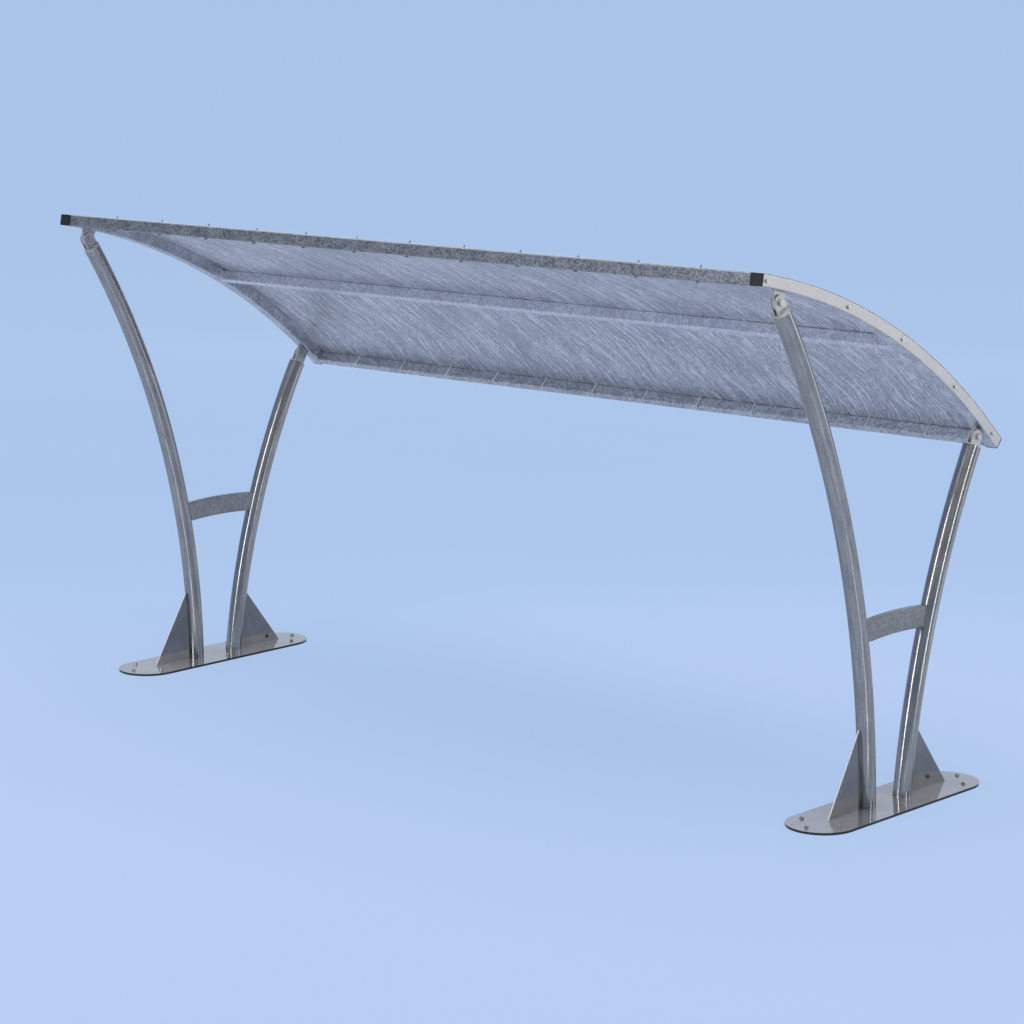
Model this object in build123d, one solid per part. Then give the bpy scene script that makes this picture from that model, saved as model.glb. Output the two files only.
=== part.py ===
from build123d import *
import math
import os

# Bicycle shelter: two welded steel end frames carry a roof of curved rafters, rails and one
# curved sheet. X runs along the shelter, Y from its open front to its back, Z up.
# The origin lies on the floor, midway between the frames and midway along the base plates.
# Lengths are millimetres and angles are degrees.

# Overall layout
frame_spacing = 4000.0
roof_arc_radius = 3200.0
roof_arc_y = -1437.0
roof_arc_z = -957.0
rafter_front_angle = 9.98
rafter_rear_angle = 42.75
fit_gap = 0.3
least_inner_corner = 1.0

# Base plate of each end frame, with round ends, flat on the floor
plate_length = 1140.0
plate_width = 290.0
plate_thickness = 10.0
anchor_hole_radius = 7.0
tip_hole_inset = 46.0
side_hole_setback = 138.0
side_hole_offset = 92.0

# Legs: round tube rolled to one large arc each
leg_diameter = 76.1
leg_wall = 3.0
front_foot_offset = 123.0
rear_foot_offset = 123.0
front_foot_lean = 0.4
rear_foot_lean = 7.0

# Pivots that carry the rafters on the legs
front_pivot_angle = 12.56
rear_pivot_angle = 40.45
front_fork_clearance = 15.0
rear_fork_clearance = 4.0
pivot_bolt_radius = 8.0
fork_width = 29.0
fork_cheek_thickness = 8.0
fork_cheek_depth = 60.0
fork_cheek_height = 42.0
fork_disc_thickness = 5.0
lug_radius = 28.0
lug_top_width = 76.0
lug_side_gap = 1.2

# Bolt head and nut at each pivot
pivot_hex_across_flats = 24.0
pivot_hex_height = 10.0
pivot_washer_radius = 15.5
pivot_washer_thickness = 3.0
pivot_bolt_end_length = 4.0

# Gussets and the arched brace of each end frame
gusset_thickness = 6.0
front_gusset_toe_offset = 382.0
front_gusset_height = 327.0
rear_gusset_toe_offset = 428.0
rear_gusset_height = 272.0
gusset_nose = 8.0
brace_width = 30.0
brace_depth = 90.0
brace_wall = 3.0
brace_corner_radius = 5.0
brace_top_height = 789.0
brace_arc_radius = 2300.0

# Rafters: rectangular tube rolled to the roof arc, with a plastic cap in each end
rafter_width = 60.0
rafter_height = 50.0
rafter_wall = 3.0
rafter_corner_radius = 5.0
cap_flange_thickness = 5.0
cap_insert_length = 10.0

# Rails between the rafters, each with a plate at both ends
rail_height = 50.0
rail_depth = 40.0
rail_wall = 3.0
rail_corner_radius = 5.0
rail_end_plate_thickness = 8.0
rail_end_plate_reach = 45.0
rail_end_plate_inset = 3.0
middle_rail_angle = 28.1

# Bolts in the rafters: one through each rail's end plate, and between the rails two short ones
# that hold in the outer wall alone
rafter_bolt_radius = 5.0
rafter_bolt_to_rail = 50.0
upper_free_bolt_angle = 20.0
lower_free_bolt_angle = 35.05
rafter_hex_across_flats = 16.0
rafter_hex_height = 6.4
rafter_washer_radius = 10.0
rafter_washer_thickness = 2.0
rafter_bolt_end_length = 3.0
short_bolt_reach = 8.0

# Roof sheet, and the hook bolts that clamp it to the front and rear rails
sheet_thickness = 1.5
hook_bolt_count = 12
hook_bolt_spacing = 308.0
hook_bolt_radius = 3.0
hook_bend_radius = 5.0
hook_foot_length = 16.0
hook_hex_across_flats = 10.0
hook_hex_height = 5.0
hook_washer_radius = 8.0
hook_washer_thickness = 1.5
hook_bolt_end_length = 8.0


# Hollow section shared by the brace, rafters and rails: a rounded rectangle with an even wall
def tube_section(plane, along_x, across, corner, wall):
    outer = plane * RectangleRounded(along_x, across, corner)
    inner_corner = max(corner - wall, least_inner_corner)
    return outer - plane * RectangleRounded(along_x - 2 * wall, across - 2 * wall, inner_corner)


# Places on the roof arc, counted in degrees from straight above the arc's centre towards the back
def roof_point(angle, radius):
    turn = math.radians(angle)
    return roof_arc_y + radius * math.sin(turn), roof_arc_z + radius * math.cos(turn)


# Plane square to the roof arc: its x axis is global X and its y axis points outwards from the arc
def roof_plane(x, angle, radius):
    y, z = roof_point(angle, radius)
    turn = math.radians(angle)
    return Plane(origin=(x, y, z), x_dir=(1, 0, 0), z_dir=(0, -math.cos(turn), math.sin(turn)))


roof_axis = Axis((0, roof_arc_y, roof_arc_z), (1, 0, 0))


# Anything rolled along the roof arc, from one angle to another at a given radius
def rolled_on_roof(section, start_angle, end_angle):
    return revolve(section, roof_axis, start_angle - end_angle)


fork_radius = fork_cheek_depth / 2
fork_top_limit = roof_arc_radius - rafter_height / 2 - fork_radius
leg_radius = leg_diameter / 2
leg_end_to_pivot = fork_cheek_height + fork_disc_thickness
plate_top = plate_thickness


# Each leg's arc leaves the base plate at its lean and passes through its pivot
class LegArc:
    def __init__(self, side, foot_offset, lean, pivot_angle, clearance):
        self.side = side
        self.foot_y = side * foot_offset
        self.lean = lean
        self.pivot_angle = pivot_angle
        self.pivot_y, self.pivot_z = roof_point(pivot_angle, fork_top_limit - clearance)
        across = side * (self.pivot_y - self.foot_y)
        rise = self.pivot_z - plate_top
        chord = math.hypot(across, rise)
        swing = math.atan2(across, rise) - math.radians(lean)
        self.radius = chord / (2 * math.sin(swing))
        self.centre_y = self.foot_y + side * self.radius * math.cos(math.radians(lean))
        self.centre_z = plate_top - self.radius * math.sin(math.radians(lean))
        self.pivot_lean = lean + 2 * math.degrees(swing)
        self.end_lean = self.pivot_lean - math.degrees(math.asin(leg_end_to_pivot / self.radius))

    def point(self, lean):
        turn = math.radians(lean)
        y = self.centre_y - self.side * self.radius * math.cos(turn)
        return y, self.centre_z + self.radius * math.sin(turn)

    def lean_at_height(self, z):
        return math.degrees(math.asin((z - self.centre_z) / self.radius))

    def direction(self, lean):
        turn = math.radians(lean)
        return 0.0, self.side * math.sin(turn), math.cos(turn)

    def plane(self, x, lean):
        y, z = self.point(lean)
        return Plane(origin=(x, y, z), x_dir=(1, 0, 0), z_dir=self.direction(lean))

    def rolled(self, x, end_lean, radius, wall=0.0):
        start_lean = self.lean - math.degrees(leg_diameter / self.radius)
        plane = self.plane(x, start_lean)
        section = plane * Circle(radius)
        if wall > 0.0:
            section -= plane * Circle(radius - wall)
        axis = Axis((0, self.centre_y, self.centre_z), (1, 0, 0))
        return revolve(section, axis, -self.side * (end_lean - start_lean))


front_arc = LegArc(-1, front_foot_offset, front_foot_lean, front_pivot_angle, front_fork_clearance)
rear_arc = LegArc(1, rear_foot_offset, rear_foot_lean, rear_pivot_angle, rear_fork_clearance)


# Room above the base plate, used to cut feet and gussets level with it
def above_plate(x):
    size = 2 * roof_arc_radius
    return Pos(x, 0, plate_top + size / 2) * Box(size, size, size)


# Base plate with round ends: three anchor holes round each end and one at each side of the middle
def make_base_plate(x):
    half = plate_length / 2
    outline = Rot(0, 0, 90) * SlotOverall(plate_length, plate_width)
    plate = extrude(outline, plate_thickness)
    places = [(side_hole_offset, 0), (-side_hole_offset, 0)]
    for end in (-1, 1):
        places.append((0, end * (half - tip_hole_inset)))
        for side in (-1, 1):
            places.append((side * side_hole_offset, end * (half - side_hole_setback)))
    for place in places:
        plate -= Pos(*place, plate_thickness / 2) * Cylinder(anchor_hole_radius, 2 * plate_thickness)
    return Pos(x, 0, 0) * plate


# Leg tube, cut level on the base plate and square to its arc under the fork's disc
def make_leg(arc, x):
    return arc.rolled(x, arc.end_lean, leg_radius, leg_wall) & above_plate(x)


# Outer shape of a leg with the fitting gap round it, cut from what is welded to the leg
def leg_envelope(arc, x):
    return arc.rolled(x, arc.end_lean, leg_radius + fit_gap)


# Triangular gusset on the outer side of a leg's foot
def make_gusset(arc, x, toe_offset, height):
    top = plate_top + height
    axis_y, _ = arc.point(arc.lean_at_height(top))
    face_y = axis_y + arc.side * (leg_radius + gusset_nose)
    outline = Polyline(
        (arc.side * toe_offset, plate_top),
        (arc.foot_y, plate_top),
        (axis_y, top),
        (face_y, top),
        close=True,
    )
    face = Plane(origin=(x, 0, 0), x_dir=(0, 1, 0), z_dir=(1, 0, 0)) * make_face(outline)
    plate = extrude(face, gusset_thickness / 2, both=True)
    return plate - leg_envelope(arc, x)


# Arched flat tube that ties the two legs of a frame together, coped to both
def make_brace(x):
    front_y, _ = front_arc.point(front_arc.lean_at_height(brace_top_height))
    rear_y, _ = rear_arc.point(rear_arc.lean_at_height(brace_top_height))
    middle_y = (front_y + rear_y) / 2
    turn = (rear_y - front_y) / 2 / brace_arc_radius
    centre_z = brace_top_height - brace_arc_radius
    middle_radius = brace_arc_radius - brace_depth / 2
    start = Plane(
        origin=(x, middle_y - middle_radius * math.sin(turn), centre_z + middle_radius * math.cos(turn)),
        x_dir=(1, 0, 0),
        z_dir=(0, -math.cos(turn), -math.sin(turn)),
    )
    section = tube_section(start, brace_width, brace_depth, brace_corner_radius, brace_wall)
    bar = revolve(section, Axis((0, middle_y, centre_z), (1, 0, 0)), -2 * math.degrees(turn))
    return bar - leg_envelope(front_arc, x) - leg_envelope(rear_arc, x)


# Plane through a pivot: its x axis is global X and its z axis is square to the leg's cut end
def pivot_plane(arc, x):
    return Plane(
        origin=(x, arc.pivot_y, arc.pivot_z), x_dir=(1, 0, 0), z_dir=arc.direction(arc.end_lean)
    )


lug_thickness = fork_width - 2 * fork_cheek_thickness - 2 * lug_side_gap
pivot_hole_radius = pivot_bolt_radius + fit_gap


# Fork on the top of a leg: a disc that closes the tube, with two round-topped cheeks on it
def make_fork(arc, x):
    disc = Pos(0, 0, -leg_end_to_pivot) * extrude(Circle(leg_radius), fork_disc_thickness)
    rounded = Rot(0, 90, 0) * Cylinder(fork_radius, fork_width)
    middle = -fork_cheek_height / 2
    cheeks = rounded + Pos(0, 0, middle) * Box(fork_width, fork_cheek_depth, fork_cheek_height)
    gap = fork_width - 2 * fork_cheek_thickness
    slot_height = fork_cheek_height + fork_cheek_depth
    slot = Pos(0, 0, slot_height / 2 - fork_cheek_height) * Box(gap, 2 * fork_cheek_depth, slot_height)
    cheeks -= slot
    cheeks -= Rot(0, 90, 0) * Cylinder(pivot_hole_radius, 2 * fork_width)
    return pivot_plane(arc, x) * (disc + cheeks)


# Lug welded under a rafter, hanging between the cheeks of the fork
def make_lug(arc, x):
    seat = roof_arc_radius - rafter_height / 2 - fit_gap
    top = math.degrees(lug_top_width / 2 / seat)
    left = roof_point(arc.pivot_angle - top, seat)
    middle = roof_point(arc.pivot_angle, seat)
    right = roof_point(arc.pivot_angle + top, seat)
    across = math.radians(arc.pivot_angle)
    step_y = lug_radius * math.cos(across)
    step_z = lug_radius * math.sin(across)
    lower_left = (arc.pivot_y - step_y, arc.pivot_z + step_z)
    lower_right = (arc.pivot_y + step_y, arc.pivot_z - step_z)
    lowest = (arc.pivot_y - step_z, arc.pivot_z - step_y)
    outline = [
        ThreePointArc(left, middle, right),
        Line(right, lower_right),
        ThreePointArc(lower_right, lowest, lower_left),
        Line(lower_left, left),
    ]
    face = Plane(origin=(x, 0, 0), x_dir=(0, 1, 0), z_dir=(1, 0, 0)) * make_face(outline)
    lug = extrude(face, lug_thickness / 2, both=True)
    hole = Pos(x, arc.pivot_y, arc.pivot_z) * Rot(0, 90, 0) * Cylinder(pivot_hole_radius, 2 * lug_thickness)
    return lug - hole


# Hexagon on a round washer face, along +Z: the head of a bolt or its nut
def make_hexagon(across_flats, height, washer_radius, washer_thickness):
    washer = extrude(Circle(washer_radius), washer_thickness)
    return washer + extrude(RegularPolygon(across_flats / 2, 6, major_radius=False), height)


def make_pivot_hexagon():
    return make_hexagon(
        pivot_hex_across_flats, pivot_hex_height, pivot_washer_radius, pivot_washer_thickness
    )


# Pivot bolt with its head on the +X side, and its nut on the other side
def make_pivot_bolt(arc, x):
    head = Pos(fork_width / 2, 0, 0) * Rot(0, 90, 0) * make_pivot_hexagon()
    length = fork_width + pivot_hex_height + pivot_bolt_end_length
    shank = Pos(fork_width / 2 - length / 2, 0, 0) * Rot(0, 90, 0) * Cylinder(pivot_bolt_radius, length)
    return Pos(x, arc.pivot_y, arc.pivot_z) * (head + shank)


def make_pivot_nut(arc, x):
    nut = Pos(-fork_width / 2, 0, 0) * Rot(0, -90, 0) * make_pivot_hexagon()
    nut -= Rot(0, 90, 0) * Cylinder(pivot_hole_radius, 4 * fork_width)
    return Pos(x, arc.pivot_y, arc.pivot_z) * nut


rafter_hole_radius = rafter_bolt_radius + fit_gap
rail_half_angle = math.degrees(rail_depth / 2 / roof_arc_radius)
rail_bolt_angle = math.degrees(rafter_bolt_to_rail / roof_arc_radius)
front_rail_angle = rafter_front_angle + rail_half_angle
rear_rail_angle = rafter_rear_angle - rail_half_angle

# Angle of each rafter bolt, and whether it passes through a rail's end plate to a nut
rafter_bolts = (
    (front_rail_angle, True),
    (upper_free_bolt_angle, False),
    (middle_rail_angle - rail_bolt_angle, True),
    (lower_free_bolt_angle, False),
    (rear_rail_angle - rail_bolt_angle, True),
)


# Hole at a bolt, a given length to each side of x
def bolt_hole(x, angle, half_length):
    y, z = roof_point(angle, roof_arc_radius)
    return Pos(x, y, z) * Rot(0, 90, 0) * Cylinder(rafter_hole_radius, 2 * half_length)


# What a through bolt clamps: the rafter, the gap and the rail's end plate
clamped_width = rafter_width + fit_gap + rail_end_plate_thickness


def make_rafter_hexagon():
    return make_hexagon(
        rafter_hex_across_flats, rafter_hex_height, rafter_washer_radius, rafter_washer_thickness
    )


# Rafter bolt with its head on the rafter's outer face, and the nut of a through bolt
def make_rafter_bolt(side, x, angle, at_rail):
    y, z = roof_point(angle, roof_arc_radius)
    through = clamped_width + rafter_hex_height + rafter_bolt_end_length
    length = through if at_rail else rafter_wall + short_bolt_reach
    bolt = make_rafter_hexagon() + Pos(0, 0, -length / 2) * Cylinder(rafter_bolt_radius, length)
    return Pos(x + side * rafter_width / 2, y, z) * Rot(0, side * 90, 0) * bolt


def make_rafter_nut(side, x, angle):
    y, z = roof_point(angle, roof_arc_radius)
    nut = make_rafter_hexagon() - Cylinder(rafter_hole_radius, 4 * rafter_hex_height)
    inner = x + side * (rafter_width / 2 - clamped_width)
    return Pos(inner, y, z) * Rot(0, -side * 90, 0) * nut


# Rafter tube along the roof arc, drilled for its bolts
def make_rafter(side, x):
    start = roof_plane(x, rafter_front_angle, roof_arc_radius)
    section = tube_section(start, rafter_width, rafter_height, rafter_corner_radius, rafter_wall)
    rafter = rolled_on_roof(section, rafter_front_angle, rafter_rear_angle)
    for angle, at_rail in rafter_bolts:
        if at_rail:
            rafter -= bolt_hole(x, angle, rafter_width)
        else:
            rafter -= bolt_hole(x + side * rafter_width / 2, angle, 2 * rafter_wall)
    return rafter


# Plastic cap: a flange over a rafter's end and a plug inside the tube
def make_cap(x, angle, outwards):
    plane = roof_plane(x, angle, roof_arc_radius)
    flange = extrude(
        RectangleRounded(rafter_width, rafter_height, rafter_corner_radius), cap_flange_thickness * outwards
    )
    inset = 2 * (rafter_wall + fit_gap)
    corner = rafter_corner_radius - rafter_wall
    plug = extrude(
        RectangleRounded(rafter_width - inset, rafter_height - inset, corner), -cap_insert_length * outwards
    )
    return plane * (flange + plug)


# Straight rail between the rafters, its top level with theirs, and a plate at each end.
# The plate reaches past the rail on the side where it is bolted to the rafter, if it has one.
def make_rail(angle, reach_side, bolt_angle):
    length = frame_spacing - rafter_width - 2 * fit_gap
    centre_radius = roof_arc_radius + rafter_height / 2 - rail_height / 2
    y, z = roof_point(angle, centre_radius)
    turn = math.radians(angle)
    section_plane = Plane(
        origin=(-length / 2, y, z), x_dir=(0, math.cos(turn), -math.sin(turn)), z_dir=(1, 0, 0)
    )
    section = tube_section(section_plane, rail_depth, rail_height, rail_corner_radius, rail_wall)
    rail = extrude(section, length)
    reach = abs(reach_side) * rail_end_plate_reach
    outline = Rectangle(rail_depth + reach, rail_height - 2 * rail_end_plate_inset)
    for start in (0, length - rail_end_plate_thickness):
        place = section_plane * Pos(reach_side * reach / 2, 0, start)
        rail += place * extrude(outline, rail_end_plate_thickness)
    for side in (-1, 1):
        rail -= bolt_hole(side * frame_spacing / 2, bolt_angle, rafter_width)
    return rail


sheet_inner_radius = roof_arc_radius + rafter_height / 2 + fit_gap
hook_hole_radius = hook_bolt_radius + fit_gap
hook_rod_offset = rail_depth / 2 + hook_hole_radius
hook_span = (hook_bolt_count - 1) * hook_bolt_spacing
hook_places = [index * hook_bolt_spacing - hook_span / 2 for index in range(hook_bolt_count)]


# Plane at a hook bolt beside a rail: its y axis is square to the roof, outwards, with its origin at
# the sheet's lower face, and its x axis follows the slope from the rail's far side towards the rail
def hook_plane(x, rail_angle, inner_side):
    angle = rail_angle + inner_side * math.degrees(hook_rod_offset / roof_arc_radius)
    y, z = roof_point(angle, sheet_inner_radius)
    turn = math.radians(rail_angle)
    slope = (0, -inner_side * math.cos(turn), inner_side * math.sin(turn))
    return Plane(origin=(x, y, z), x_dir=slope, z_dir=(-inner_side, 0, 0))


# Hook bolt: a rod through the sheet beside the rail, bent to a foot under the rail
def make_hook_bolt(plane):
    top = sheet_thickness + fit_gap + hook_hex_height + hook_bolt_end_length
    foot_level = -fit_gap - rail_height - hook_hole_radius
    bend_level = foot_level + hook_bend_radius
    rod_end = Plane(origin=(0, bend_level, 0), z_dir=(0, 1, 0)) * Circle(hook_bolt_radius)
    rod = extrude(rod_end, top - bend_level)
    bend = revolve(rod_end, Axis((hook_bend_radius, bend_level, 0), (0, 0, 1)), 90)
    foot_end = Plane(origin=(hook_bend_radius, foot_level, 0), z_dir=(1, 0, 0)) * Circle(hook_bolt_radius)
    foot = extrude(foot_end, hook_foot_length - hook_bend_radius)
    return plane * (rod + bend + foot)


# Nut and washer of a hook bolt, on top of the sheet
def make_hook_nut(plane):
    nut = make_hexagon(hook_hex_across_flats, hook_hex_height, hook_washer_radius, hook_washer_thickness)
    nut -= Cylinder(hook_hole_radius, 4 * hook_hex_height)
    return plane * Pos(0, sheet_thickness + fit_gap, 0) * Rot(-90, 0, 0) * nut


# Curved roof sheet over rafters and rails, flush with the rafters' outer faces and ends
def make_roof_sheet(hooks):
    radius = sheet_inner_radius + sheet_thickness / 2
    start = roof_plane(0, rafter_front_angle, radius)
    section = start * Rectangle(frame_spacing + rafter_width, sheet_thickness)
    sheet = rolled_on_roof(section, rafter_front_angle, rafter_rear_angle)
    hole = Rot(90, 0, 0) * Cylinder(hook_hole_radius, 8 * sheet_thickness)
    return sheet - [plane * hole for plane in hooks]


pieces = {}
for side_name, side in (("left", -1), ("right", 1)):
    x = side * frame_spacing / 2
    pieces[side_name + "_base_plate"] = [make_base_plate(x)]
    pieces[side_name + "_brace"] = [make_brace(x)]
    for end_name, arc, toe_offset, height in (
        ("front", front_arc, front_gusset_toe_offset, front_gusset_height),
        ("rear", rear_arc, rear_gusset_toe_offset, rear_gusset_height),
    ):
        name = side_name + "_" + end_name
        pieces[name + "_leg"] = [make_leg(arc, x)]
        pieces[name + "_gusset"] = [make_gusset(arc, x, toe_offset, height)]
        pieces[name + "_fork"] = [make_fork(arc, x)]
        pieces[name + "_lug"] = [make_lug(arc, x)]
    pieces[side_name + "_pivot_bolts"] = [make_pivot_bolt(arc, x) for arc in (front_arc, rear_arc)]
    pieces[side_name + "_pivot_nuts"] = [make_pivot_nut(arc, x) for arc in (front_arc, rear_arc)]
    pieces[side_name + "_rafter"] = [make_rafter(side, x)]
    pieces[side_name + "_rafter_bolts"] = [make_rafter_bolt(side, x, *bolt) for bolt in rafter_bolts]
    pieces[side_name + "_rafter_nuts"] = [
        make_rafter_nut(side, x, angle) for angle, at_rail in rafter_bolts if at_rail
    ]
    pieces[side_name + "_rafter_front_cap"] = [make_cap(x, rafter_front_angle, 1)]
    pieces[side_name + "_rafter_rear_cap"] = [make_cap(x, rafter_rear_angle, -1)]

pieces["front_rail"] = [make_rail(front_rail_angle, 0, front_rail_angle)]
pieces["middle_rail"] = [make_rail(middle_rail_angle, -1, middle_rail_angle - rail_bolt_angle)]
pieces["rear_rail"] = [make_rail(rear_rail_angle, -1, rear_rail_angle - rail_bolt_angle)]

front_hooks = [hook_plane(x, front_rail_angle, 1) for x in hook_places]
rear_hooks = [hook_plane(x, rear_rail_angle, -1) for x in hook_places]
pieces["front_hook_bolts"] = [make_hook_bolt(plane) for plane in front_hooks]
pieces["front_hook_nuts"] = [make_hook_nut(plane) for plane in front_hooks]
pieces["rear_hook_bolts"] = [make_hook_bolt(plane) for plane in rear_hooks]
pieces["rear_hook_nuts"] = [make_hook_nut(plane) for plane in rear_hooks]
pieces["roof_sheet"] = [make_roof_sheet(front_hooks + rear_hooks)]

os.makedirs("parts", exist_ok=True)
for name, shapes in pieces.items():
    solids = [solid for shape in shapes for solid in shape.solids()]
    part = solids[0] if len(solids) == 1 else Compound(children=solids)
    export_step(part, f"parts/{name}.step")
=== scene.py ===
import math

import bmesh
import bpy
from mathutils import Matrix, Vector


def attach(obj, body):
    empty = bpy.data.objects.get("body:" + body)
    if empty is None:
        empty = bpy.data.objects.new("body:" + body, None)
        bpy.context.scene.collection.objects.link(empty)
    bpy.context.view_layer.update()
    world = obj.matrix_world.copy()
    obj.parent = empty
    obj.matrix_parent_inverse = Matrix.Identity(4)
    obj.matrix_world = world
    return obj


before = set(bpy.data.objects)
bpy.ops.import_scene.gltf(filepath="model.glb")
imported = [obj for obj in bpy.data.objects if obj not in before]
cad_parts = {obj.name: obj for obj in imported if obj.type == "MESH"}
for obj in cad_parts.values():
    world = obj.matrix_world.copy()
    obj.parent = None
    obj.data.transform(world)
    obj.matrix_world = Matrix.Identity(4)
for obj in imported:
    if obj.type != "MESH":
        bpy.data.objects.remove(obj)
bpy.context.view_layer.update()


# Camera at the photograph's place: high to the right of the open front, looking slightly down.
# The focal length and the optical axis's row are in photograph pixels, on a square image.
IMAGE_WIDTH = 1024
FOCAL_PIXELS = 3038.9
AXIS_ROW = 409.9
CAMERA_PLACE = (8.888, -9.856, 3.351)
CAMERA_YAW = 42.139
CAMERA_PITCH = 8.312
SENSOR_WIDTH = 36.0
FARTHEST_SEEN = 400.0

camera_data = bpy.data.cameras.new("camera")
camera_data.sensor_width = SENSOR_WIDTH
camera_data.lens = SENSOR_WIDTH * FOCAL_PIXELS / IMAGE_WIDTH
camera_data.shift_y = (AXIS_ROW - IMAGE_WIDTH / 2) / IMAGE_WIDTH
camera_data.clip_end = FARTHEST_SEEN
camera = bpy.data.objects.new("camera", camera_data)
camera.location = CAMERA_PLACE
camera.rotation_euler = (math.radians(90 - CAMERA_PITCH), 0.0, math.radians(CAMERA_YAW))
bpy.context.collection.objects.link(camera)
bpy.context.scene.camera = camera
bpy.context.scene.view_settings.view_transform = "Standard"


# Base plates: flame-cut steel plate, 10 mm thick with round ends, polished almost to a mirror.
# Faint rolling lines run along each plate, and its cut edge is painted dark as a shadow.
PLATE_TONES = ((0.31, 0.312, 0.33, 1), (0.375, 0.377, 0.395, 1))
PLATE_EDGE_SHADOW = (0.04, 0.05, 0.065, 1)
PLATE_ROUGHNESS = 0.045
PLATE_LINES_ACROSS = 90.0
PLATE_LINES_ALONG = 3.0
X, Y, Z = 0, 1, 2

sides = ("left", "right")


class Value:
    """A shader value. Operators on it add Math nodes to its material."""

    def __init__(self, graph, socket):
        self.graph = graph
        self.socket = socket

    def maths(self, operation, *others):
        inputs = dict(enumerate((self,) + others))
        return self.graph.node("ShaderNodeMath", {"operation": operation}, inputs)

    def __add__(self, other):
        return self.maths("ADD", other)

    def __sub__(self, other):
        return self.maths("SUBTRACT", other)

    def __rsub__(self, other):
        return self.graph.node("ShaderNodeMath", {"operation": "SUBTRACT"}, {0: other, 1: self})

    def __mul__(self, other):
        return self.maths("MULTIPLY", other)

    __radd__ = __add__
    __rmul__ = __mul__

    def part(self, axis):
        return self.graph.node("ShaderNodeSeparateXYZ", {}, {0: self}, output=axis)

    def stepped(self, low, high):
        settings = {"interpolation_type": "SMOOTHSTEP"}
        return self.graph.node("ShaderNodeMapRange", settings, {0: self, 1: low, 2: high})


class Graph:
    """A material and its node tree. node() adds a node: its type, its settings, then its inputs."""

    def __init__(self, name):
        self.material = bpy.data.materials.new(name)
        self.material.use_nodes = True
        self.tree = self.material.node_tree
        self.shader = self.tree.nodes["Principled BSDF"]

    def node(self, kind, settings, inputs, output=0):
        made = self.tree.nodes.new(kind)
        for key, value in settings.items():
            setattr(made, key, value)
        for key, value in inputs.items():
            self.feed(made.inputs[key], value)
        return Value(self, made.outputs[output])

    def feed(self, socket, value):
        if isinstance(value, Value):
            self.tree.links.new(value.socket, socket)
        else:
            socket.default_value = value

    def place(self):
        return self.node("ShaderNodeTexCoord", {}, {}, output="Object")

    def normal(self):
        return self.node("ShaderNodeNewGeometry", {}, {}, output="Normal")

    def facing(self, axis):
        return self.normal().part(axis).maths("ABSOLUTE")

    def vector(self, x, y, z):
        return self.node("ShaderNodeCombineXYZ", {}, {0: x, 1: y, 2: z})

    def noise(self, place, scale=1.0, detail=3.0, roughness=0.6, distortion=0.0):
        inputs = {
            "Vector": place, "Scale": scale, "Detail": detail, "Roughness": roughness,
            "Distortion": distortion,
        }
        return self.node("ShaderNodeTexNoise", {}, inputs)

    def blend(self, amount, first, second):
        settings = {"data_type": "RGBA", "clamp_factor": True}
        return self.node("ShaderNodeMix", settings, {0: amount, 6: first, 7: second}, output=2)

    def bump(self, height, distance, strength):
        inputs = {"Height": height, "Distance": distance, "Strength": strength}
        return self.node("ShaderNodeBump", {}, inputs)

    def finish(self, colour, roughness, metallic, normal=None):
        self.feed(self.shader.inputs["Base Color"], colour)
        self.feed(self.shader.inputs["Roughness"], roughness)
        self.feed(self.shader.inputs["Metallic"], metallic)
        if normal is not None:
            self.feed(self.shader.inputs["Normal"], normal)
        return self.material


def dress(names, material):
    for name in names:
        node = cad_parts[name]
        node.data.materials.clear()
        node.data.materials.append(material)


def polished_plate():
    graph = Graph("polished_base_plate")
    place = graph.place()
    across = place.part(X) * PLATE_LINES_ACROSS
    along = place.part(Y) * PLATE_LINES_ALONG
    lines = graph.noise(graph.vector(across, along, place.part(Z)))
    cloud = graph.noise(place, 6.0, distortion=0.6)
    tone = lines * 0.5 + cloud * 0.5
    face = graph.blend(tone.stepped(0.38, 0.66), *PLATE_TONES)
    # The cut edges are painted near-black: painted shadow
    colour = graph.blend(graph.facing(Z).stepped(0.3, 0.7), PLATE_EDGE_SHADOW, face)
    roughness = PLATE_ROUGHNESS + cloud.stepped(0.5, 0.8) * 0.06
    relief = graph.bump(lines, 0.0001, 0.15)
    return graph.finish(colour, roughness, metallic=0.55, normal=relief)


dress([f"{side}_base_plate" for side in sides], polished_plate())


# Floor anchor bolts: zinc-plated domed nuts on washers, one in each hole of the base plates.
# Their shanks stand in the holes with a little play.
FRAME_X = 2.0
PLATE_TOP = 0.010
SIDE_HOLE_X = 0.092
SIDE_HOLE_Y = 0.432
TIP_HOLE_Y = 0.524
ANCHOR_SPOTS = [(SIDE_HOLE_X, 0.0), (-SIDE_HOLE_X, 0.0)]
ANCHOR_SPOTS += [(0.0, end * TIP_HOLE_Y) for end in (-1, 1)]
ANCHOR_SPOTS += [(side * SIDE_HOLE_X, end * SIDE_HOLE_Y) for side in (-1, 1) for end in (-1, 1)]
ANCHOR_SEGMENTS = 24
HEXAGON_SIDE_TURN = math.pi / 3
# Radius, height above the plate and whether the ring is a hexagon, from the floor up
ANCHOR_RINGS = (
    (0.0056, -0.0095, False), (0.0056, 0.0, False), (0.0100, 0.0, False), (0.0100, 0.0014, False),
    (0.0096, 0.0019, False), (0.0072, 0.0019, True), (0.0072, 0.0066, True), (0.0064, 0.0072, False),
    (0.0062, 0.0082, False), (0.0052, 0.0099, False), (0.0031, 0.0111, False), (0.0011, 0.0115, False),
)
ANCHOR_TONES = ((0.20, 0.20, 0.21, 1), (0.50, 0.49, 0.48, 1))


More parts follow.
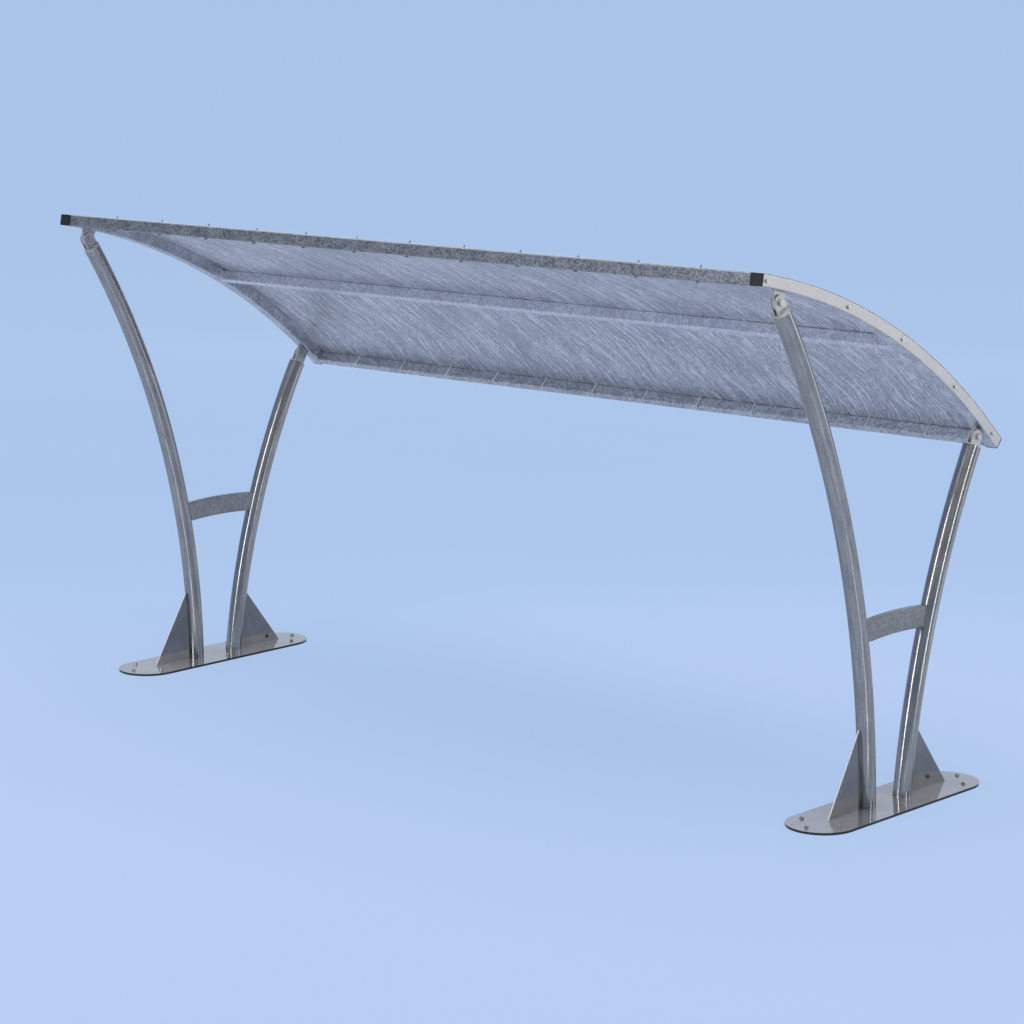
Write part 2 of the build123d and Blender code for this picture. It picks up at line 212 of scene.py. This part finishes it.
def add_anchor(mesh, x, y):
    rings = []
    for radius, height, hexagonal in ANCHOR_RINGS:
        ring = []
        for index in range(ANCHOR_SEGMENTS):
            turn = 2 * math.pi * index / ANCHOR_SEGMENTS
            off_flat = (turn + HEXAGON_SIDE_TURN / 2) % HEXAGON_SIDE_TURN - HEXAGON_SIDE_TURN / 2
            reach = radius / math.cos(off_flat) if hexagonal else radius
            spot = (x + reach * math.cos(turn), y + reach * math.sin(turn), PLATE_TOP + height)
            ring.append(mesh.verts.new(spot))
        rings.append(ring)
    mesh.faces.new(list(reversed(rings[0])))
    mesh.faces.new(rings[-1])
    for level, (lower, upper) in enumerate(zip(rings, rings[1:])):
        for index in range(ANCHOR_SEGMENTS):
            after = (index + 1) % ANCHOR_SEGMENTS
            face = mesh.faces.new((lower[index], lower[after], upper[after], upper[index]))
            face.smooth = not (ANCHOR_RINGS[level][2] or ANCHOR_RINGS[level + 1][2])


def add_object(name, mesh, material):
    data = bpy.data.meshes.new(name)
    mesh.to_mesh(data)
    mesh.free()
    data.materials.append(material)
    made = bpy.data.objects.new(name, data)
    bpy.context.collection.objects.link(made)
    return made


def make_anchors(side, x, material):
    mesh = bmesh.new()
    for spot_x, spot_y in ANCHOR_SPOTS:
        add_anchor(mesh, x + spot_x, spot_y)
    anchors = add_object(f"{side}_anchor_bolts", mesh, material)
    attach(anchors, "root")


def zinc_plated(name, tones):
    graph = Graph(name)
    place = graph.place()
    spots = graph.noise(place, 260.0)
    wear = graph.noise(place, 60.0, distortion=0.5)
    tone = spots * 0.5 + wear * 0.5
    colour = graph.blend(tone.stepped(0.36, 0.64), *tones)
    roughness = 0.22 + (spots - 0.5) * 0.2
    return graph.finish(colour, roughness, metallic=0.7, normal=graph.bump(spots, 0.0002, 0.3))


anchor_zinc = zinc_plated("anchor_zinc", ANCHOR_TONES)
make_anchors("left", -FRAME_X, anchor_zinc)
make_anchors("right", FRAME_X, anchor_zinc)


# Legs: round steel tube, 76 mm across, rolled to an arc and hot-dip galvanised.
# Faint draw lines run along the tube. Each arc's centre is given in Y and Z, with its radius.
LEG_ARCS = {"front": (-3.9704, -0.0169, 3.8475), "rear": (3.8412, -0.4465, 3.7462)}
LEG_TONES = ((0.30, 0.29, 0.28, 1), (0.47, 0.455, 0.44, 1))
LEG_ROUGHNESS = 0.18
DRAW_LINES_ACROSS = 210.0
DRAW_LINES_ALONG = 7.0

ends = ("front", "rear")


def leg_zinc(name, centre_y, centre_z, radius):
    graph = Graph(name)
    place = graph.place()
    off_y = (place.part(Y) - centre_y).maths("ABSOLUTE")
    off_z = place.part(Z) - centre_z
    along = off_z.maths("ARCTAN2", off_y) * radius
    out = (off_y * off_y + off_z * off_z).maths("SQRT") - radius
    line_x = place.part(X) * DRAW_LINES_ACROSS
    lines = graph.noise(graph.vector(line_x, out * DRAW_LINES_ACROSS, along * DRAW_LINES_ALONG))
    grain = graph.noise(place, 260.0, detail=2.0)
    cloud = graph.noise(graph.vector(place.part(X), out, along * 0.4), 18.0, distortion=0.5)
    tone = lines * 0.45 + grain * 0.35 + cloud * 0.2
    colour = graph.blend(tone.stepped(0.4, 0.6), *LEG_TONES)
    roughness = LEG_ROUGHNESS + (cloud - 0.5) * 0.05
    return graph.finish(colour, roughness, metallic=1.0, normal=graph.bump(lines, 0.0003, 0.08))


for end in ends:
    leg_tube = leg_zinc(f"galvanised_{end}_leg", *LEG_ARCS[end])
    dress([f"{side}_{end}_leg" for side in sides], leg_tube)


# Gussets: triangles of 6 mm plate welded between each leg's foot and its base plate.
# Their faces are smooth and so glossy that they mirror the plate before them. Cut edges are painted
# bright as a highlight.
GUSSET_TONES = ((0.23, 0.225, 0.225, 1), (0.29, 0.285, 0.28, 1))
# A near-white, non-metallic edge colour: a painted highlight
GUSSET_EDGE_HIGHLIGHT = (0.84, 0.83, 0.80, 1)


def smooth_plate(name, tones, edge, gloss, metallic):
    graph = Graph(name)
    place = graph.place()
    cloud = graph.noise(place, 9.0, distortion=0.6)
    grain = graph.noise(place, 160.0)
    tone = cloud * 0.6 + grain * 0.4
    face = graph.blend(tone.stepped(0.38, 0.66), *tones)
    # Cut edges take the edge colour without metal; on the gussets it is a painted highlight
    flat = graph.facing(X).stepped(0.3, 0.6)
    colour = graph.blend(flat, edge, face)
    roughness = gloss + (cloud - 0.5) * 0.06
    relief = graph.bump(grain, 0.0002, 0.15)
    return graph.finish(colour, roughness, metallic=flat * metallic, normal=relief)


gusset_plate = smooth_plate("gusset_plate", GUSSET_TONES, GUSSET_EDGE_HIGHLIGHT, gloss=0.09, metallic=0.9)
dress([f"{side}_{end}_gusset" for side in sides for end in ends], gusset_plate)


# Braces: one arched flat tube between the two legs of each frame, hot-dip galvanised.
# The zinc shows as a fine mottle of crystals over soft clouds, with a satin gloss.
BRACE_TONES = ((0.20, 0.20, 0.203, 1), (0.33, 0.33, 0.333, 1))
# A pale colour painted on upward-facing edges as a highlight
TOP_HIGHLIGHT_COLOUR = (0.80, 0.80, 0.80, 1)


def galvanised(name, tones, gloss, relief, metallic, painted_top_highlight=False):
    graph = Graph(name)
    place = graph.place()
    grain = graph.noise(place, 190.0, roughness=0.65)
    cloud = graph.noise(place, 16.0, distortion=0.8)
    cells = {"Vector": place, "Scale": 130.0}
    crystal = graph.node("ShaderNodeTexVoronoi", {"feature": "F1"}, cells, output="Color").part(X)
    tone = grain * 0.62 + crystal * 0.18 + cloud * 0.28
    colour = graph.blend(tone.stepped(0.41, 0.67), *tones)
    # Painted highlight: upward-facing surfaces are painted pale and less metallic
    if painted_top_highlight:
        top_highlight_mask = graph.normal().part(Z).stepped(0.45, 0.75)
        colour = graph.blend(top_highlight_mask, colour, TOP_HIGHLIGHT_COLOUR)
        metallic = metallic - top_highlight_mask * 0.5
    roughness = gloss + (crystal - 0.5) * 0.05 + (cloud - 0.5) * 0.06
    return graph.finish(colour, roughness, metallic, normal=graph.bump(grain, 0.0004, relief))


brace_tube = galvanised("galvanised_brace", BRACE_TONES, gloss=0.34, relief=0.2, metallic=1.0)
dress([f"{side}_brace" for side in sides], brace_tube)


# Pivots: a fork of two cheeks on each leg's end disc, a lug under the rafter between them,
# and one bolt with its nut. Forks and lugs are bright smooth plate.
PIVOT_TONES = ((0.52, 0.51, 0.49, 1), (0.66, 0.65, 0.62, 1))
PIVOT_EDGE = (0.55, 0.54, 0.52, 1)
FASTENER_TONES = ((0.42, 0.42, 0.42, 1), (0.78, 0.77, 0.74, 1))

pivot_plate = smooth_plate("pivot_plate", PIVOT_TONES, PIVOT_EDGE, gloss=0.32, metallic=0.8)
for kind in ("fork", "lug"):
    dress([f"{side}_{end}_{kind}" for side in sides for end in ends], pivot_plate)

fastener = zinc_plated("zinc_plated_steel", FASTENER_TONES)
dress([f"{side}_pivot_{kind}" for side in sides for kind in ("bolts", "nuts")], fastener)


# Rafters: rectangular tube rolled to the roof's arc, galvanised, with five bolts each.
# Their outer sides are painted in smoother, brighter tones as painted light, their tops are painted
# pale as a highlight, and the rest is mottled.
# Outer-side tones are painted light, and the top colour is a painted highlight
RAFTER_LIT_SIDE_TONES = ((0.55, 0.525, 0.495, 1), (0.67, 0.64, 0.605, 1))
RAFTER_MOTTLE_TONES = ((0.40, 0.41, 0.44, 1), (0.76, 0.78, 0.82, 1))
RAFTER_TOP_HIGHLIGHT = (0.84, 0.83, 0.80, 1)


def rafter_zinc():
    graph = Graph("galvanised_rafter")
    place = graph.place()
    grain = graph.noise(place, 150.0)
    cloud = graph.noise(place, 14.0, distortion=0.8)
    tone = grain * 0.6 + cloud * 0.4
    # Outer sides take lighter, smoother tones: painted light where the key light falls
    side = graph.blend(tone.stepped(0.3, 0.7), *RAFTER_LIT_SIDE_TONES)
    mottled = graph.blend(tone.stepped(0.4, 0.62), *RAFTER_MOTTLE_TONES)
    # About 2 on an outer side, 0 above and below, and negative on an inner side
    outward = graph.normal().part(X) * place.part(X)
    # Upward-facing tops are painted pale and non-metallic: a painted highlight
    top_highlight_mask = graph.normal().part(Z).stepped(0.02, 0.25)
    colour = graph.blend(top_highlight_mask, graph.blend(outward.stepped(1.1, 1.9), mottled, side), RAFTER_TOP_HIGHLIGHT)
    roughness = 0.32 + (cloud - 0.5) * 0.1
    relief = graph.bump(grain, 0.0004, 0.25)
    return graph.finish(colour, roughness, metallic=0.9 - top_highlight_mask * 0.9, normal=relief)


dress([f"{side}_rafter" for side in sides], rafter_zinc())
dress([f"{side}_rafter_{kind}" for side in sides for kind in ("bolts", "nuts")], fastener)


# Rafter caps: black moulded plastic with a fine grain, one in each end of both rafters.
# Each is pressed into its tube, and its flange covers the tube's wall.
CAP_TONES = ((0.006, 0.006, 0.007, 1), (0.014, 0.014, 0.015, 1))


def moulded_plastic():
    graph = Graph("black_plastic")
    grain = graph.noise(graph.place(), 900.0, detail=2.0)
    colour = graph.blend(grain, *CAP_TONES)
    roughness = 0.5 + (grain - 0.5) * 0.15
    return graph.finish(colour, roughness, metallic=0.0, normal=graph.bump(grain, 0.0002, 0.3))


dress([f"{side}_rafter_{end}_cap" for side in sides for end in ends], moulded_plastic())


# Rails: three straight galvanised tubes between the rafters, with end plates bolted to them.
# The mottle is darkest on the front rail as painted shade, with a painted highlight on its upper edge,
# and palest on the middle one as painted light.
RAIL_ROUGHNESS = 0.36
RAIL_RELIEF = 0.3
# Material, dark and light tone, metallic, and whether the upper edge gets a painted highlight
# The front rail's dark tones are painted shade, and the middle rail's pale tones and lower metallic are
# painted light
RAIL_FINISHES = {
    "rear_rail": ("galvanised_rail", (0.34, 0.35, 0.385, 1), (0.76, 0.78, 0.83, 1), 0.8, False),
    "middle_rail": ("galvanised_middle_rail", (0.56, 0.58, 0.65, 1), (0.92, 0.93, 1.0, 1), 0.7, False),
    "front_rail": ("galvanised_front_rail", (0.17, 0.173, 0.185, 1), (0.44, 0.447, 0.47, 1), 0.8, True),
}

for rail, (name, dark, light, metallic, painted_top_highlight) in RAIL_FINISHES.items():
    rail_tube = galvanised(name, (dark, light), RAIL_ROUGHNESS, RAIL_RELIEF, metallic, painted_top_highlight)
    dress([rail], rail_tube)


# Hook bolts: thin zinc-plated rods through the sheet, each bent under its rail and drawn up by a
# nut on a washer. The rear ones are painted near-white as a highlight, the front ones as dull as the
# floor anchors.
REAR_HOOK_HIGHLIGHT_TONES = ((0.88, 0.88, 0.87, 1), (0.98, 0.98, 0.96, 1))


def rear_hook_highlight_zinc():
    graph = Graph("rear_hook_highlight_zinc")
    spots = graph.noise(graph.place(), 300.0)
    # Near-white and almost non-metallic: a painted highlight on the rear hooks
    colour = graph.blend(spots.stepped(0.35, 0.65), *REAR_HOOK_HIGHLIGHT_TONES)
    roughness = 0.22 + (spots - 0.5) * 0.1
    return graph.finish(colour, roughness, metallic=0.05, normal=graph.bump(spots, 0.0002, 0.2))


dress([f"front_hook_{kind}" for kind in ("bolts", "nuts")], anchor_zinc)
dress([f"rear_hook_{kind}" for kind in ("bolts", "nuts")], rear_hook_highlight_zinc())


# Roof sheet: coated metal rolled to the rafters' arc, with fine wavy streaks along its slope.
# Its underside is painted lighter than its upper face, as painted light from below. The slope is
# measured along the arc.
ROOF_ARC_RADIUS = 3.2
ROOF_ARC_Y = -1.437
ROOF_ARC_Z = -0.957
SHEET_UNDER_LIT_TONES = ((0.38, 0.395, 0.455, 1), (0.94, 0.935, 0.98, 1))
SHEET_TOP_TONES = ((0.19, 0.195, 0.215, 1), (0.40, 0.40, 0.415, 1))
# Near-white edge colour: a painted highlight
SHEET_EDGE_HIGHLIGHT = (0.93, 0.92, 0.90, 1)
SHEET_ROUGHNESS = 0.42


def ridges(graph, place, sharpness):
    level = graph.noise(place, detail=2.0)
    return 1.0 - ((level - 0.5) * sharpness).maths("ABSOLUTE").stepped(0.0, 1.0)


def streaked_sheet():
    graph = Graph("roof_sheet_metal")
    place = graph.place()
    across = place.part(X)
    turn = (place.part(Y) - ROOF_ARC_Y).maths("ARCTAN2", place.part(Z) - ROOF_ARC_Z)
    slope = turn * ROOF_ARC_RADIUS
    sway = graph.noise(graph.vector(across * 2.2, slope * 2.6, 0.0), detail=2.0) - 0.5
    swayed = across + sway * 0.12
    leaning = across + sway * 0.16 - slope * 0.22
    # Each streak pattern is cut from its own layer of the noise, by the vector's third number
    fine = graph.noise(graph.vector(swayed * 150.0, slope * 38.0, 0.0), roughness=0.75)
    crossed = graph.noise(graph.vector(leaning * 150.0, slope * 34.0, 30.0), roughness=0.75)
    long_lines = graph.noise(graph.vector(swayed * 80.0, slope * 2.6, 4.0), roughness=0.7)
    cloud = graph.noise(graph.vector(across * 4.0, slope * 3.0, 8.0))
    scratches = ridges(graph, graph.vector(swayed * 40.0, slope * 1.4, 12.0), 26.0)
    crossing = ridges(graph, graph.vector(leaning * 30.0, slope * 1.2, 20.0), 30.0)
    streaks = fine * 0.34 + crossed * 0.34 + long_lines * 0.2
    tone = streaks + cloud * 0.12 + scratches * 0.08 + crossing * 0.06
    bright = tone.stepped(0.44, 0.63)
    under = graph.blend(bright, *SHEET_UNDER_LIT_TONES)
    top = graph.blend(bright, *SHEET_TOP_TONES)
    # The underside's lighter tones are painted light; the upper face keeps darker tones
    face = graph.blend(graph.normal().part(Z).stepped(0.1, 0.3), under, top)
    # Edge faces are painted near-white and non-metallic: a painted highlight
    level = graph.facing(Z).stepped(0.25, 0.45)
    colour = graph.blend(level, SHEET_EDGE_HIGHLIGHT, face)
    roughness = SHEET_ROUGHNESS + (fine - 0.5) * 0.15
    relief = graph.bump(fine, 0.0005, 0.2)
    return graph.finish(colour, roughness, metallic=level * 0.8, normal=relief)


dress(["roof_sheet"], streaked_sheet())


# Stage: one pale blue floor that curves up into its backdrop all round. The camera sees it in
# its plain colour with a light shadow on it, and the metals mirror a greyer tone of it.
STAGE_FLAT_RADIUS = 22.0
STAGE_CURVE_RADIUS = 14.0
STAGE_CURVE_STEPS = 12
STAGE_RING_RADII = (4.0, 10.0, STAGE_FLAT_RADIUS)
STAGE_SIDES = 96
STAGE_PAINT = (0.46, 0.49, 0.56, 1)
STAGE_NEAR = (0.455, 0.63, 0.955, 1)
STAGE_MIDDLE = (0.395, 0.59, 0.915, 1)
STAGE_FAR = (0.483, 0.677, 1.0, 1)
# The way to the back of the picture, in X and Y
STAGE_BACK = (-0.67, 0.74)
SEEN_GLOW = 0.75
MIRRORED_GLOW = 0.28


def stage_paint():
    graph = Graph("stage_paint")
    place = graph.place()
    x = place.part(X)
    y = place.part(Y)
    distance = (x * x + y * y).maths("SQRT")
    shade = graph.noise(place, 0.4, detail=2.0) - 0.5
    back = x * STAGE_BACK[0] + y * STAGE_BACK[1]
    nearer = graph.blend((back + shade * 2.0).stepped(0.4, 4.2), STAGE_NEAR, STAGE_MIDDLE)
    plain = graph.blend((distance + shade * 3.0).stepped(5.0, 18.0), nearer, STAGE_FAR)
    graph.finish(STAGE_PAINT, roughness=0.85, metallic=0.0)
    glow = graph.node("ShaderNodeEmission", {}, {"Color": plain, "Strength": 1.0})
    seen = graph.node("ShaderNodeLightPath", {}, {}, output="Is Camera Ray")
    mirrored = graph.node("ShaderNodeLightPath", {}, {}, output="Is Glossy Ray")
    clear = graph.node("ShaderNodeLightPath", {}, {}, output="Is Transmission Ray")
    share = (seen + clear) * SEEN_GLOW + mirrored * MIRRORED_GLOW
    paint = Value(graph, graph.shader.outputs[0])
    mixed = graph.node("ShaderNodeMixShader", {}, {0: share, 1: paint, 2: glow})
    graph.feed(graph.tree.nodes["Material Output"].inputs["Surface"], mixed)
    return graph.material


def make_stage():
    mesh = bmesh.new()
    rings = [[mesh.verts.new((0, 0, 0))]]
    profile = [(radius, 0.0) for radius in STAGE_RING_RADII]
    for step in range(1, STAGE_CURVE_STEPS + 1):
        turn = math.radians(90 * step / STAGE_CURVE_STEPS)
        rise = STAGE_CURVE_RADIUS * (1 - math.cos(turn))
        profile.append((STAGE_FLAT_RADIUS + STAGE_CURVE_RADIUS * math.sin(turn), rise))
    for radius, height in profile:
        ring = []
        for index in range(STAGE_SIDES):
            turn = 2 * math.pi * index / STAGE_SIDES
            ring.append(mesh.verts.new((radius * math.cos(turn), radius * math.sin(turn), height)))
        rings.append(ring)
    for index in range(STAGE_SIDES):
        after = (index + 1) % STAGE_SIDES
        mesh.faces.new((rings[0][0], rings[1][index], rings[1][after]))
        for inner, outer in zip(rings[1:], rings[2:]):
            mesh.faces.new((inner[index], outer[index], outer[after], inner[after]))
    for face in mesh.faces:
        face.smooth = True
    stage = add_object("stage", mesh, stage_paint())


make_stage()


# Lights: one wide soft light overhead, strips at the front, at the right and low on the floor that
# draw the lines along the round legs, and panels behind that the roof, rafters and plates mirror.
WHITE = (1.0, 1.0, 1.0)
WARM_WHITE = (1.0, 0.98, 0.96)
STRIP_HEIGHT = 0.03
SKY_COLOUR = (0.68, 0.74, 0.85, 1)
SKY_STRENGTH = 0.5


def add_light(name, place, rotation, size, brightness, colour):
    data = bpy.data.lights.new(name, "AREA")
    data.shape = "RECTANGLE"
    data.size, data.size_y = size
    # The brightness is what a mirror shows of the light, whatever its size
    data.energy = brightness * math.pi * size[0] * size[1]
    data.color = colour
    light = bpy.data.objects.new(name, data)
    light.location = place
    light.rotation_euler = rotation
    light.visible_camera = False
    bpy.context.collection.objects.link(light)


def soft_light(name, place, target, size, brightness, colour=WHITE):
    aim = Vector(target) - Vector(place)
    rotation = aim.to_track_quat("-Z", "Y").to_euler()
    add_light(name, place, rotation, size, brightness, colour)


def floor_strip(name, start, end, width, brightness):
    middle = ((start[0] + end[0]) / 2, (start[1] + end[1]) / 2, STRIP_HEIGHT)
    rotation = (math.pi, 0.0, math.atan2(end[1] - start[1], end[0] - start[0]))
    add_light(name, middle, rotation, (math.dist(start, end), width), brightness, WHITE)


soft_light("overhead", (0.0, -1.0, 11.0), (0, -0.9, 0), (18.0, 12.0), brightness=2.0)
soft_light("front_strip", (-0.75, -10.0, 4.4), (-0.75, 0, 1.0), (1.0, 9.0), brightness=9.0)
soft_light("right_strip", (11.0, 0.0, 3.0), (2.0, 0, 1.0), (0.6, 6.0), brightness=7.0)
soft_light("right_back_panel", (9.4, 10.2, 2.3), (1.9, 0.0, 1.0), (9.0, 4.6), 0.9, WARM_WHITE)
soft_light("left_back_panel", (-7.5, 11.5, 3.6), (0, 0, 0.5), (14.0, 4.5), brightness=0.45)
soft_light("high_back", (0.5, 12.5, 7.8), (1.5, 0.0, 2.0), (9.0, 4.5), brightness=1.8)
floor_strip("floor_strip_right", (2.4, -0.45), (4.4, -0.9), width=0.1, brightness=1.7)
floor_strip("floor_strip_left", (-1.7, -0.5), (-0.6, -1.9), width=0.1, brightness=1.7)
floor_strip("floor_strip_back", (4.0, 2.3), (8.5, 9.8), width=0.3, brightness=1.8)

world = bpy.data.worlds.new("studio")
world.use_nodes = True
background = world.node_tree.nodes["Background"]
background.inputs["Color"].default_value = SKY_COLOUR
background.inputs["Strength"].default_value = SKY_STRENGTH
bpy.context.scene.world = world
